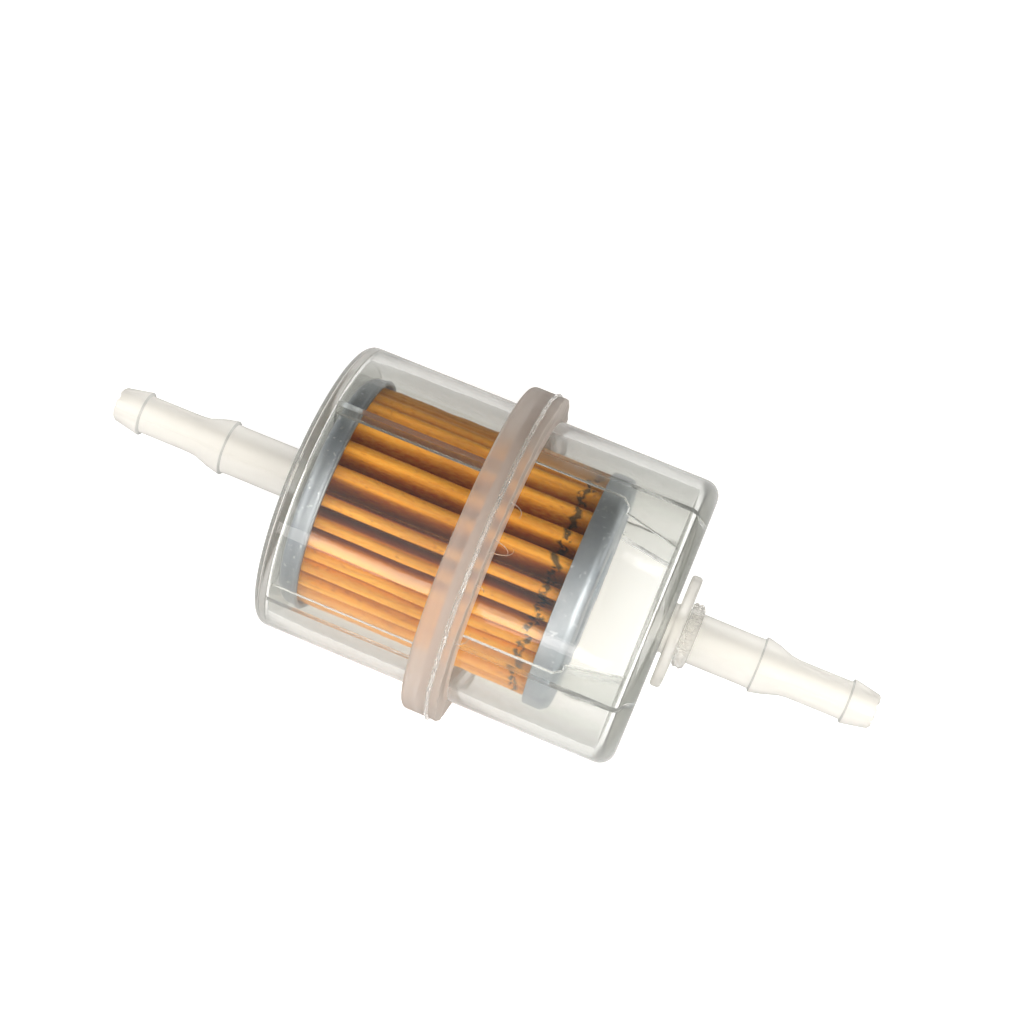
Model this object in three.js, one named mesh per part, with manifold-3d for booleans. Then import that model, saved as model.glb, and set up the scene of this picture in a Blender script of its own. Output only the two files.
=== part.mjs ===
// In-line fuel filter: a clear housing welded from two shells, stepped hose spigots at both
// ends, and a pleated paper element between two pressed steel caps.
// Millimetres. +X runs along the filter's axis from the outlet to the inlet, +Z is up, and
// the origin is the middle of the overall box.

import * as THREE from "three";
import { mergeVertices } from "three/addons/utils/BufferGeometryUtils.js";
import Module from "manifold-3d";

const wasm = await Module();
wasm.setup();

// ---------------------------------------------------------------- driving dimensions

const fitGap = 0.3; // between neighbouring pieces

// Housing
const barrelDiameter = 46.5;
const barrelWall = 1.8;
const outletShellLength = 30.2; // weld plane to end face
const inletShellLength = 28.6;
const outletEndWall = 1.8;
const inletEndWall = 2.2;
const outletCornerRadius = 1.3;
const inletCornerRadius = 2.4;

// Collar, where the shells are welded flange to flange
const collarHeight = 3.5; // above the barrel
const outletFlangeWidth = 4.3;
const inletFlangeWidth = 1.5;
const collarCornerRadius = 0.8;
const collarRootRadius = 0.5;
const tongueThickness = 1.2;
const tongueLength = 1.8;
const collarBeadHeight = 0.6; // above the collar
const collarBeadWidth = 0.9;
const collarBeadDepth = 0.5; // how far the bead sinks into the notch between the flanges

// Ribs inside the shells, which centre the element
const ribCount = 4;
const ribThickness = 0.9;
const ribHeight = 2.05;
const outletRibClocking = 68; // degrees about +X from +Y
const inletRibClocking = 51;
const ribReach = 2.1; // how far an inlet rib steps in over the closed cap's face
const ribTaper = 2.7; // how much further in it is at the end wall

// Hose spigots, alike at both ends, from the end face to the tip
const boreDiameter = 3.8;
const largeHoseDiameter = 8;
const largeStepLength = 15; // end face to the crest of the large ridge
const largeRidgeHeight = 0.45;
const coneLength = 5.6;
const smallHoseDiameter = 6.1;
const smallStepLength = 8.9; // end of the cone to the crest of the small ridge
const smallRidgeHeight = 0.5;
const tipConeLength = 4.4;
const tipDiameter = 5.4;
const ridgeRise = 0.5; // length of a ridge's steep side

// Stop disc on the inlet neck, and the bead where the inlet nipple is welded to it
const neckLength = 0.8;
const discDiameter = 18;
const discThickness = 1.7;
const nippleBeadHeight = 1.25; // above the nipple
const nippleBeadWidth = 1.9;

// Filter element
const capSheet = 0.4;
const capCornerRadius = 1.6;
const outletCapDepth = 3.5;
const closedCapDepth = 4.2;
const plenumLength = 9.7; // closed cap's face to the inlet end wall
const capRecessDepth = 1.2;
const outletHoleDiameter = 8;
const pottingThickness = 0.8;
const paperInset = 1; // cap's skirt to the pleat tips
const paperThickness = 0.4;
const pleatCount = 32;
const tipFoldWidth = 1.5; // between the middles of a pleat's two walls
const valleyFoldWidth = 0.9;
const seamClipDepth = 3.4;
const seamClipInset = 0.6; // below the pleat tips
const coreDiameter = 18;
const coreSheet = 0.4;
const corePaperGap = 0.8;
const coreHoleDiameter = 2.2;
const coreHoleColumns = 8;
const coreHoleRows = 5;

// Smoothness of the round shapes, as facets per turn
const housingFacets = 40;
const spigotFacets = 32;
const coreFacets = 32;
const holeFacets = 8;

// ---------------------------------------------------------------- places and radii

const barrelRadius = barrelDiameter / 2;
const innerRadius = barrelRadius - barrelWall;
const collarRadius = barrelRadius + collarHeight;
const boreRadius = boreDiameter / 2;
const largeRadius = largeHoseDiameter / 2;
const smallRadius = smallHoseDiameter / 2;

const ribRadius = innerRadius - ribHeight;
const ribRootRadius = innerRadius + barrelWall / 2;
const capRadius = ribRadius - fitGap;
const pottingRadius = capRadius - capSheet - fitGap;
const paperRadius = capRadius - paperInset;
const coreRadius = coreDiameter / 2;
const coreInnerRadius = coreRadius - coreSheet;
const pleatInnerRadius = coreRadius + corePaperGap;
const recessRadius = coreInnerRadius - fitGap - capSheet;

const barrelLength = outletShellLength + inletShellLength;
const outletFaceX = -barrelLength / 2;
const inletFaceX = barrelLength / 2;
const weldX = outletFaceX + outletShellLength;
const outletFlangeX = weldX - fitGap / 2;
const inletFlangeX = weldX + fitGap / 2;
const outletFloorX = outletFaceX + outletEndWall;
const inletFloorX = inletFaceX - inletEndWall;
const discFaceX = inletFaceX + neckLength + discThickness;

const outletCapX = outletFloorX + fitGap;
const closedCapX = inletFloorX - plenumLength;
const outletPottingX = outletCapX + capSheet + fitGap;
const closedPottingX = closedCapX - capSheet - fitGap;
const paperStartX = outletPottingX + pottingThickness + fitGap;
const paperEndX = closedPottingX - pottingThickness - fitGap;

// ---------------------------------------------------------------- shape helpers

// Points of an arc about (x, r), as [x, r] pairs. 0 degrees is along +X and 90 outwards.
function arc(x, r, radius, startDegrees, endDegrees, steps = 3) {
  const points = [];
  for (let i = 0; i <= steps; i += 1) {
    const degrees = startDegrees + ((endDegrees - startDegrees) * i) / steps;
    const angle = THREE.MathUtils.degToRad(degrees);
    points.push([x + radius * Math.cos(angle), r + radius * Math.sin(angle)]);
  }
  return points;
}

// A solid turned about the X axis from a profile of [x, r] pairs. A profile that doesn't
// start and end on the axis is closed on itself.
function turned(profile, facets) {
  const points = profile.map(([x, r]) => new THREE.Vector2(r, x));
  if (THREE.ShapeUtils.isClockWise(points)) {
    points.reverse();
  }
  const onAxis = points[0].x === 0 && points.at(-1).x === 0;
  if (!onAxis) {
    points.push(points[0].clone());
  }
  return new THREE.LatheGeometry(points, facets).rotateZ(-Math.PI / 2);
}

function toManifold(geometry) {
  const bare = geometry.clone();
  bare.deleteAttribute("normal");
  bare.deleteAttribute("uv");
  const merged = mergeVertices(bare);
  const mesh = new wasm.Mesh({
    numProp: 3,
    vertProperties: new Float32Array(merged.attributes.position.array),
    triVerts: new Uint32Array(merged.index.array),
  });
  return new wasm.Manifold(mesh);
}

function fromManifold(manifold) {
  const mesh = manifold.getMesh();
  const geometry = new THREE.BufferGeometry();
  geometry.setAttribute("position", new THREE.BufferAttribute(mesh.vertProperties, 3));
  geometry.setIndex(new THREE.BufferAttribute(mesh.triVerts, 1));
  return geometry;
}

// ---------------------------------------------------------------- housing

// A barbed spigot's outside from its root to its bore, as [distance, radius] pairs, with the
// distance counted from the end face.
function spigotOutline(rootAt) {
  const coneEndAt = largeStepLength + coneLength;
  const smallRidgeAt = coneEndAt + smallStepLength;
  const tipAt = smallRidgeAt + tipConeLength;
  return [
    [rootAt, largeRadius],
    [largeStepLength - ridgeRise, largeRadius],
    [largeStepLength, largeRadius + largeRidgeHeight],
    [coneEndAt, smallRadius],
    [smallRidgeAt - ridgeRise, smallRadius],
    [smallRidgeAt, smallRadius + smallRidgeHeight],
    [tipAt, tipDiameter / 2],
    [tipAt, boreRadius],
  ];
}

// The weld face carries a tongue on the inlet side and its groove on the outlet side, and
// the flanges' outer edges leave a notch for the bead.
const tongueRadius = (innerRadius + collarRadius) / 2;
const tongueTipX = weldX - tongueLength;
const beadNotch = collarBeadDepth + fitGap;

function outletShellProfile() {
  const flangeStartX = weldX - outletFlangeWidth;
  const grooveX = tongueTipX - fitGap;
  const grooveHalf = tongueThickness / 2 + fitGap;
  const endCorner = outletCornerRadius;
  const root = collarRootRadius;
  const edge = collarCornerRadius;
  const spigot = spigotOutline(0).map(([distance, r]) => [outletFaceX - distance, r]);
  return [
    ...spigot.reverse(),
    ...arc(outletFaceX + endCorner, barrelRadius - endCorner, endCorner, 180, 90),
    ...arc(flangeStartX - root, barrelRadius + root, root, -90, 0, 2),
    ...arc(flangeStartX + edge, collarRadius - edge, edge, 180, 90),
    [outletFlangeX - beadNotch, collarRadius],
    [outletFlangeX, collarRadius - beadNotch],
    [outletFlangeX, tongueRadius + grooveHalf],
    [grooveX, tongueRadius + grooveHalf],
    [grooveX, tongueRadius - grooveHalf],
    [outletFlangeX, tongueRadius - grooveHalf],
    [outletFlangeX, innerRadius],
    [outletFloorX, innerRadius],
    [outletFloorX, boreRadius],
  ];
}

function inletShellProfile() {
  const flangeEndX = weldX + inletFlangeWidth;
  const tongueHalf = tongueThickness / 2;
  const endCorner = inletCornerRadius;
  const root = collarRootRadius;
  return [
    [inletFloorX, boreRadius],
    [inletFloorX, innerRadius],
    [inletFlangeX, innerRadius],
    [inletFlangeX, tongueRadius - tongueHalf],
    [tongueTipX, tongueRadius - tongueHalf],
    [tongueTipX, tongueRadius + tongueHalf],
    [inletFlangeX, tongueRadius + tongueHalf],
    [inletFlangeX, collarRadius - beadNotch],
    [inletFlangeX + beadNotch, collarRadius],
    [flangeEndX, collarRadius],
    ...arc(flangeEndX + root, barrelRadius + root, root, 180, 270, 2),
    ...arc(inletFaceX - endCorner, barrelRadius - endCorner, endCorner, 90, 0, 4),
    [inletFaceX, largeRadius],
    [inletFaceX + neckLength, largeRadius],
    [inletFaceX + neckLength, discDiameter / 2],
    [discFaceX, discDiameter / 2],
    [discFaceX, boreRadius],
  ];
}

// An outlet rib is a plain bar. Its root sinks into the wall and the floor, to join them.
function outletRibOutline() {
  const footX = outletFloorX - outletEndWall / 2;
  return [
    [footX, ribRadius],
    [outletFlangeX, ribRadius],
    [outletFlangeX, ribRootRadius],
    [footX, ribRootRadius],
  ];
}

// An inlet rib steps inwards round the closed cap's corner and holds the cap's face.
function inletRibOutline() {
  const faceX = closedCapX + fitGap;
  const footX = inletFloorX + inletEndWall / 2;
  const reachRadius = capRadius - ribReach;
  // The 45 degree edge passes the cap's round corner at fitGap; along it x + r is constant.
  const cornerCentreSum = closedCapX + capRadius - 2 * capCornerRadius;
  const edgeSum = cornerCentreSum + (capCornerRadius + fitGap) * Math.SQRT2;
  return [
    [inletFlangeX, ribRadius],
    [edgeSum - ribRadius, ribRadius],
    [faceX, edgeSum - faceX],
    [faceX, reachRadius],
    [footX, reachRadius - ribTaper],
    [footX, ribRootRadius],
    [inletFlangeX, ribRootRadius],
  ];
}

function ribbedShell(profile, ribOutline, clocking) {
  const shape = new THREE.Shape(ribOutline.map(([x, r]) => new THREE.Vector2(x, r)));
  let shell = toManifold(turned(profile, housingFacets));
  for (let i = 0; i < ribCount; i += 1) {
    const turn = THREE.MathUtils.degToRad(clocking) + (i * 2 * Math.PI) / ribCount;
    const rib = new THREE.ExtrudeGeometry(shape, { depth: ribThickness, bevelEnabled: false });
    rib.translate(0, 0, -ribThickness / 2).rotateX(turn);
    shell = shell.add(toManifold(rib));
  }
  return fromManifold(shell);
}

function inletNipple() {
  const rootAt = neckLength + discThickness + fitGap;
  const outline = spigotOutline(rootAt).map(([distance, r]) => [inletFaceX + distance, r]);
  return turned([...outline, [inletFaceX + rootAt, boreRadius]], spigotFacets);
}

// A ring of weld flash, pointed on the inside where it sinks into the notch.
function collarBead() {
  const shoulder = collarRadius + fitGap / 2;
  const crest = collarRadius + collarBeadHeight;
  const half = collarBeadWidth / 2;
  const profile = [
    [weldX, collarRadius - collarBeadDepth + fitGap],
    [weldX - half, shoulder],
    [weldX - half / 2, crest],
    [weldX + half / 2, crest],
    [weldX + half, shoulder],
  ];
  return turned(profile, housingFacets);
}

function nippleBead() {
  const inner = largeRadius + fitGap;
  const outer = largeRadius + nippleBeadHeight;
  const chamfer = (outer - inner) / 3;
  const startX = discFaceX + fitGap;
  const endX = startX + nippleBeadWidth;
  const profile = [
    [startX, inner],
    [startX, outer - chamfer],
    [startX + chamfer, outer],
    [endX - chamfer, outer],
    [endX, outer - chamfer],
    [endX, inner],
  ];
  return turned(profile, spigotFacets);
}

// ---------------------------------------------------------------- filter element

// A pressed cap with its face at faceX and its skirt running towards inwards * X. The middle
// of its face is a round recess, with a hole in it unless holeRadius is 0.
function pressedCap(faceX, inwards, depth, holeRadius) {
  const corner = capCornerRadius;
  const centreRadius = capRadius - corner;
  const outside = [
    [capRecessDepth, holeRadius],
    [capRecessDepth, recessRadius],
    [0, recessRadius],
    ...arc(corner, centreRadius, corner, 180, 90),
    [depth, capRadius],
  ];
  const inside = [
    [depth, capRadius - capSheet],
    ...arc(corner, centreRadius, corner - capSheet, 90, 180),
    [capSheet, recessRadius + capSheet],
    [capRecessDepth + capSheet, recessRadius + capSheet],
    [capRecessDepth + capSheet, holeRadius],
  ];
  const profile = [...outside, ...inside].map(([u, r]) => [faceX + inwards * u, r]);
  return turned(profile, housingFacets);
}

// The compound that holds the paper and the core in a cap, sloped to clear its corner.
function potting(faceX, inwards) {
  const topX = faceX + inwards * pottingThickness;
  const inner = coreRadius + fitGap;
  const profile = [
    [faceX, inner],
    [faceX, pottingRadius - capCornerRadius],
    [topX, pottingRadius],
    [topX, inner],
  ];
  return turned(profile, housingFacets);
}

// One closed loop round all the pleats, with two points at each tip and each valley.
function pleatLoop(tipRadius, tipHalfWidth, valleyRadius, valleyHalfWidth) {
  const pitch = (2 * Math.PI) / pleatCount;
  const tipTurn = tipHalfWidth / tipRadius;
  const valleyTurn = valleyHalfWidth / valleyRadius;
  const points = [];
  for (let i = 0; i < pleatCount; i += 1) {
    const tip = i * pitch;
    const valley = tip + pitch / 2;
    points.push([tipRadius, tip - tipTurn], [tipRadius, tip + tipTurn]);
    points.push([valleyRadius, valley - valleyTurn], [valleyRadius, valley + valleyTurn]);
  }
  return points.map(([r, angle]) => new THREE.Vector2(r * Math.cos(angle), r * Math.sin(angle)));
}

// Half the width of a fold, on the side where the paper bulges and on the side it closes on.
const tipHalfOuter = (tipFoldWidth + paperThickness) / 2;
const tipHalfInner = (tipFoldWidth - paperThickness) / 2;
const valleyHalfOuter = (valleyFoldWidth + paperThickness) / 2;
const valleyHalfInner = (valleyFoldWidth - paperThickness) / 2;
const valleyFloorRadius = pleatInnerRadius + paperThickness;

function pleatedPaper() {
  const outside = pleatLoop(paperRadius, tipHalfOuter, valleyFloorRadius, valleyHalfInner);
  const inside = pleatLoop(
    paperRadius - paperThickness, tipHalfInner, pleatInnerRadius, valleyHalfOuter);
  const shape = new THREE.Shape(outside);
  shape.holes.push(new THREE.Path(inside));
  const length = paperEndX - paperStartX;
  const pleats = new THREE.ExtrudeGeometry(shape, { depth: length, bevelEnabled: false });
  return pleats.rotateY(Math.PI / 2).translate(paperStartX, 0, 0);
}

// Half the room between two pleats at this distance from the axis, on a valley's middle.
function halfRoomBetweenPleats(distance) {
  const tipAngle = Math.PI / pleatCount - tipHalfOuter / paperRadius;
  const wallFoot = valleyFloorRadius * Math.cos(valleyHalfInner / valleyFloorRadius);
  const wallTop = paperRadius * Math.cos(tipAngle);
  const roomAtTop = paperRadius * Math.sin(tipAngle);
  return THREE.MathUtils.mapLinear(distance, wallFoot, wallTop, valleyHalfInner, roomAtTop);
}

// The strip that closes the paper's side seam lies between two pleats, next to -Z.
function seamClip() {
  const outer = paperRadius - seamClipInset;
  const length = paperEndX - paperStartX;
  const thickness = 2 * (halfRoomBetweenPleats(outer - seamClipDepth) - fitGap);
  const strip = new THREE.BoxGeometry(length, thickness, seamClipDepth);
  strip.translate((paperStartX + paperEndX) / 2, 0, -outer + seamClipDepth / 2);
  return strip.rotateX(Math.PI / pleatCount);
}

// A perforated tube that keeps the caps apart and the paper from folding inwards. Each row
// of holes is turned by half a pitch from the one before it.
function perforatedCore() {
  const startX = outletCapX + capSheet + fitGap;
  const endX = closedCapX - capSheet - fitGap;
  const wall = [
    [startX, coreInnerRadius],
    [startX, coreRadius],
    [endX, coreRadius],
    [endX, coreInnerRadius],
  ];
  const holeRadius = coreHoleDiameter / 2;
  const rowPitch = (paperEndX - paperStartX) / coreHoleRows;
  const columnPitch = (2 * Math.PI) / coreHoleColumns;
  let core = toManifold(turned(wall, coreFacets));
  for (let row = 0; row < coreHoleRows; row += 1) {
    const x = paperStartX + (row + 0.5) * rowPitch;
    for (let column = 0; column < coreHoleColumns; column += 1) {
      const punch = new THREE.CylinderGeometry(holeRadius, holeRadius, coreRadius, holeFacets);
      const turn = (column + (row % 2) / 2) * columnPitch;
      punch.translate(0, coreRadius, 0).rotateX(turn).translate(x, 0, 0);
      core = core.subtract(toManifold(punch));
    }
  }
  return fromManifold(core);
}

// A flat ring in the open cap's recess, which seals the cap on the outlet end wall.
function outletSeal() {
  const startX = outletFloorX + fitGap;
  const endX = outletCapX + capRecessDepth - fitGap;
  const inner = outletHoleDiameter / 2;
  const outer = recessRadius - fitGap;
  return turned([[startX, inner], [startX, outer], [endX, outer], [endX, inner]], coreFacets);
}

// ---------------------------------------------------------------- assembly

const clearPlastic = { color: 0xdfe0da, roughness: 0.18, metalness: 0 };
const milkyPlastic = { color: 0xe9e7e4, roughness: 0.35, metalness: 0 };
const weldFlash = { color: 0xd9cdc6, roughness: 0.5, metalness: 0 };
const tinnedSteel = { color: 0x9aa5b0, roughness: 0.32, metalness: 0.9 };
const filterPaper = { color: 0xd78a24, roughness: 0.85, metalness: 0 };
const plastisol = { color: 0xb98a4a, roughness: 0.6, metalness: 0 };
const nitrile = { color: 0x2b2b2d, roughness: 0.7, metalness: 0 };

const filter = new THREE.Group();

function addPiece(name, finish, geometry) {
  const mesh = new THREE.Mesh(geometry, new THREE.MeshStandardMaterial(finish));
  mesh.name = name;
  filter.add(mesh);
}

addPiece("outlet_shell", clearPlastic,
  ribbedShell(outletShellProfile(), outletRibOutline(), outletRibClocking));
addPiece("inlet_shell", clearPlastic,
  ribbedShell(inletShellProfile(), inletRibOutline(), inletRibClocking));
addPiece("collar_weld_bead", weldFlash, collarBead());
addPiece("inlet_nipple", milkyPlastic, inletNipple());
addPiece("nipple_weld_bead", weldFlash, nippleBead());
addPiece("outlet_end_cap", tinnedSteel,
  pressedCap(outletCapX, 1, outletCapDepth, outletHoleDiameter / 2));
addPiece("closed_end_cap", tinnedSteel, pressedCap(closedCapX, -1, closedCapDepth, 0));
addPiece("outlet_cap_potting", plastisol, potting(outletPottingX, 1));
addPiece("closed_cap_potting", plastisol, potting(closedPottingX, -1));
addPiece("pleated_paper", filterPaper, pleatedPaper());
addPiece("paper_seam_clip", tinnedSteel, seamClip());
addPiece("perforated_core", tinnedSteel, perforatedCore());
addPiece("outlet_seal", nitrile, outletSeal());

export default filter;
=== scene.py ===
"""In-line fuel filter: the looks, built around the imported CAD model.

Lengths in the shape code are millimetres, and mesh points are turned into metres when a piece
is made. X runs along the filter's axis from the outlet to the inlet.
"""

import math
import random

import bmesh
import bpy
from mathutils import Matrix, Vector


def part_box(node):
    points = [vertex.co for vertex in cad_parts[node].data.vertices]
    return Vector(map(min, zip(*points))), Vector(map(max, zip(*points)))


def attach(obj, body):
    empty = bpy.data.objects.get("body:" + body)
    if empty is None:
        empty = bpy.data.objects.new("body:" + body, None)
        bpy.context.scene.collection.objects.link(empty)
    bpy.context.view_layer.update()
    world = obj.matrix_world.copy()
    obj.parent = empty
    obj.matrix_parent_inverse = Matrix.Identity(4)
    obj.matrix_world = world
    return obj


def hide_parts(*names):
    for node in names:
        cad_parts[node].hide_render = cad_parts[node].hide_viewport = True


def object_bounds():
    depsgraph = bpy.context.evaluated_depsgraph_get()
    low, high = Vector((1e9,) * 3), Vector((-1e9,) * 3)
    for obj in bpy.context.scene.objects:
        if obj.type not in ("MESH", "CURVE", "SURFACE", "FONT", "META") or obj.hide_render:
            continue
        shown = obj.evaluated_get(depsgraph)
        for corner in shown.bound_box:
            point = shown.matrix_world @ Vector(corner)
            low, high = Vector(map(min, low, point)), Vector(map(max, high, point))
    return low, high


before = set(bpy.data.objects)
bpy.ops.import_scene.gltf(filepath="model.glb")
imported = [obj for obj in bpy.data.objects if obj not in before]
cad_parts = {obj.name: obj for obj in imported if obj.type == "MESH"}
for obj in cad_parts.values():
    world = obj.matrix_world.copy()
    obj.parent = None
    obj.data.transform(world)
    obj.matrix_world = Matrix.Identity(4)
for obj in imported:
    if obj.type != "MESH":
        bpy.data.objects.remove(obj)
CAD_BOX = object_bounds()
MM = 0.001


def node_box(name):
    """A CAD node's (x start, x end, radius), in millimetres."""
    low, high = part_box(name)
    return low[0] / MM, high[0] / MM, high[2] / MM


# ------------------------------------------------------------------ camera

CAMERA_LENS = 65.9
CAMERA_DISTANCE = 0.290
CAMERA_ELEVATION = 75.8  # degrees above the floor
CAMERA_AZIMUTH = 22.75  # degrees from -Y towards +X
CAMERA_AIM = Vector((0.0007, 0.0072, 0.0017))


def add_camera():
    elevation = math.radians(CAMERA_ELEVATION)
    azimuth = math.radians(CAMERA_AZIMUTH)
    back = Vector((
        math.cos(elevation) * math.sin(azimuth),
        -math.cos(elevation) * math.cos(azimuth),
        math.sin(elevation),
    ))
    data = bpy.data.cameras.new("camera")
    data.lens = CAMERA_LENS
    data.sensor_width = 36.0
    data.clip_start = 0.01
    camera = bpy.data.objects.new("camera", data)
    camera.location = CAMERA_AIM + back * CAMERA_DISTANCE
    camera.rotation_euler = back.to_track_quat("Z", "Y").to_euler()
    bpy.context.collection.objects.link(camera)
    bpy.context.scene.camera = camera


add_camera()

# ------------------------------------------------------------------ sizes

BARREL_RADIUS = 23.25
WALL = 1.8
INNER_RADIUS = BARREL_RADIUS - WALL
BARREL_HALF = 29.4
OUTLET_END_WALL = 1.8
INLET_END_WALL = 2.2
OUTLET_CORNER = 1.5
INLET_CORNER = 2.6
OUTLET_FLANGE = 4.3
INLET_FLANGE = 1.5
WELD_GAP = 0.03
TONGUE_HALF = 0.6
TONGUE_LENGTH = 1.8
NOTCH = 0.25
BORE = 1.9
LARGE, LARGE_RIDGE = 4.0, 4.45
SMALL, SMALL_RIDGE = 3.05, 3.55
TIP = 2.7
LARGE_RIDGE_AT, CONE_END_AT, SMALL_RIDGE_AT, TIP_AT = 15.0, 20.6, 29.5, 33.9
STEP_LENGTH = 0.28
NECK = 0.8
DISC_RADIUS, DISC_THICKNESS = 9.0, 1.7
RIB_THICKNESS = 0.9
OUTLET_RIB_TURN = 68.0
INLET_RIB_TURN = 51.0
PLENUM_RIB_RADIUS, PLENUM_RIB_END_RADIUS = 17.0, 14.3

BEAD_START, BEAD_END, BEAD_CREST = node_box("collar_weld_bead")
WELD_X = (BEAD_START + BEAD_END) / 2
COLLAR_RADIUS = 26.75
TONGUE_RADIUS = (INNER_RADIUS + COLLAR_RADIUS) / 2
OUTLET_FACE = -BARREL_HALF
INLET_FACE = BARREL_HALF
OUTLET_FLOOR = OUTLET_FACE + OUTLET_END_WALL
INLET_FLOOR = INLET_FACE - INLET_END_WALL
DISC_FACE = INLET_FACE + NECK + DISC_THICKNESS

OUTLET_CAP_FACE, OUTLET_CAP_RIM, CAP_RADIUS = node_box("outlet_end_cap")
CLOSED_CAP_RIM, CLOSED_CAP_FACE, _ = node_box("closed_end_cap")
CAP_SHEET = 0.4
CAP_CORNER = 1.6
CAP_CLEARANCE = 0.3
RIB_RADIUS = CAP_RADIUS + CAP_CLEARANCE
PAPER_START, PAPER_END, PAPER_RADIUS = node_box("pleated_paper")

HOUSING_FACETS = 180
SPIGOT_FACETS = 128

# ------------------------------------------------------------------ mesh helpers


def smooth_noise(seed, waves, strength):
    """A repeatable smooth function of an angle in radians, as a sum of whole waves."""
    chance = random.Random(seed)
    terms = [(n, chance.uniform(0, math.tau), chance.uniform(0.4, 1.0)) for n in waves]
    total = sum(size for _, _, size in terms)
    return lambda a: strength * sum(s * math.sin(n * a + p) for n, p, s in terms) / total


def arc(x, r, radius, start, end, steps=6):
    """Points of an arc about (x, r), as (x, r) pairs. 0 degrees is along +X, 90 outwards."""
    angles = [math.radians(start + (end - start) * i / steps) for i in range(steps + 1)]
    return [(x + radius * math.cos(a), r + radius * math.sin(a)) for a in angles]


def new_piece(name, bm, sharp=35.0):
    """A smooth-shaded object from a bmesh in millimetres."""
    bmesh.ops.remove_doubles(bm, verts=bm.verts, dist=1e-5)
    bmesh.ops.recalc_face_normals(bm, faces=bm.faces)
    bmesh.ops.scale(bm, vec=(MM, MM, MM), verts=bm.verts)
    mesh = bpy.data.meshes.new(name)
    bm.to_mesh(mesh)
    bm.free()
    mesh.shade_smooth()
    mesh.set_sharp_from_angle(angle=math.radians(sharp))
    piece = bpy.data.objects.new(name, mesh)
    bpy.context.collection.objects.link(piece)
    return piece


def add_turned(bm, profile, facets, warp=None):
    """Adds a ring of revolution about X. warp(x, r, angle) may move each point."""
    rings = []
    for i in range(facets):
        angle = math.tau * i / facets
        ring = []
        for x, r in profile:
            wx, wr = warp(x, r, angle) if warp else (x, r)
            ring.append(bm.verts.new((wx, wr * math.cos(angle), wr * math.sin(angle))))
        rings.append(ring)
    count = len(profile)
    on_axis = profile[0][1] == 0 and profile[-1][1] == 0
    for i in range(facets):
        here, after = rings[i], rings[(i + 1) % facets]
        for j in range(count - 1 if on_axis else count):
            k = (j + 1) % count
            corners = [here[j], here[k], after[k], after[j]]
            if profile[j][1] == 0:
                corners = [here[j], here[k], after[k]]
            elif profile[k][1] == 0:
                corners = [here[j], here[k], after[j]]
            bm.faces.new(corners)


def turned(name, profile, facets, warp=None, sharp=35.0):
    bm = bmesh.new()
    add_turned(bm, profile, facets, warp)
    return new_piece(name, bm, sharp)


def add_plate(bm, outline, thickness, turn, edge=0.12):
    """Adds a flat plate with eased edges from an (x, r) outline, turned about X."""
    half = thickness / 2
    middle_x = sum(x for x, _ in outline) / len(outline)
    middle_r = sum(r for _, r in outline) / len(outline)

    def inset(x, r):
        away = Vector((middle_x - x, middle_r - r)).normalized() * edge
        return x + away.x, r + away.y

    layers = []
    for offset, eased in ((-half, True), (-half + edge, False), (half - edge, False), (half, True)):
        layer = []
        for x, r in outline:
            px, pr = inset(x, r) if eased else (x, r)
            y = pr * math.cos(turn) - offset * math.sin(turn)
            z = pr * math.sin(turn) + offset * math.cos(turn)
            layer.append(bm.verts.new((px, y, z)))
        layers.append(layer)
    bm.faces.new(layers[0])
    bm.faces.new(layers[-1][::-1])
    for low, high in zip(layers, layers[1:]):
        for j in range(len(outline)):
            k = (j + 1) % len(outline)
            bm.faces.new([low[j], low[k], high[k], high[j]])


def join_plates(piece, outline, thickness, turn_degrees, count=4):
    """Joins evenly spaced ribs to a turned shell, so that no face is left inside the wall."""
    bm = bmesh.new()
    for i in range(count):
        turn = math.radians(turn_degrees) + math.tau * i / count
        add_plate(bm, outline, thickness, turn)
    ribs = new_piece(piece.name + "_ribs", bm)
    joined = piece.modifiers.new("ribs", "BOOLEAN")
    joined.operation = "UNION"
    joined.solver = "EXACT"
    joined.object = ribs
    depsgraph = bpy.context.evaluated_depsgraph_get()
    mesh = bpy.data.meshes.new_from_object(piece.evaluated_get(depsgraph))
    piece.modifiers.clear()
    piece.data = mesh
    mesh.shade_smooth()
    mesh.set_sharp_from_angle(angle=math.radians(35))
    bpy.data.objects.remove(ribs, do_unlink=True)


# ------------------------------------------------------------------ material helpers


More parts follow.
